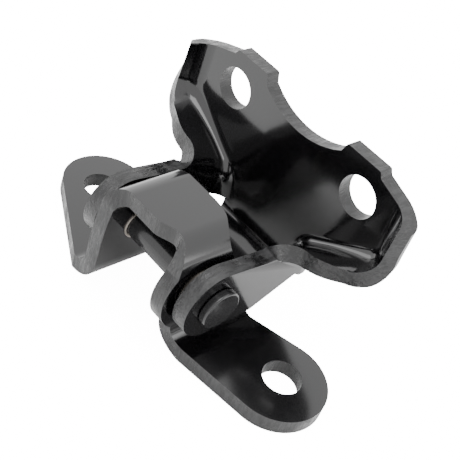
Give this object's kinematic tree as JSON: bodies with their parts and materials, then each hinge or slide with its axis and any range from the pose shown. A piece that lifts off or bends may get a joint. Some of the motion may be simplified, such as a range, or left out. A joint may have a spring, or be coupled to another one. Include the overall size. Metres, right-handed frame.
{
  "type": "vehicle door hinge",
  "caption": "Pressed-steel door hinge: a hat-shaped strap leaf with bolt-down feet turns on a headed pin between the ears of a dished plate leaf.",
  "frame": {"origin": "on the surface the feet bolt to, under the middle of the hinge's depth and half way between the feet", "axes": "+X along the pin toward its head, +Y out of the back of the plate leaf, +Z from the feet up to the web"},
  "size_m": [0.1168, 0.0592, 0.0615],
  "materials": {
    "body_e_coat": "glossy black electrocoat on pressed steel",
    "strap_e_coat": "glossy black electrocoat on pressed steel",
    "pin_steel": "dark phosphated steel, slightly polished",
    "bush_metal": "bronze-backed flanged bush, dull"
  },
  "bodies": {
    "strap": {"strap_bracket": "strap_e_coat", "bush_left": "bush_metal", "bush_right": "bush_metal"},
    "plate": {"body_bracket": "body_e_coat", "hinge_pin": "pin_steel"}
  },
  "joints": [
    {"name": "pin_turn", "type": "hinge", "parent": "strap", "child": "plate", "pos_m": [0, -0.01578, 0.0217], "axis": [1, 0, 0], "range_deg": [-15, 70]}
  ]
}
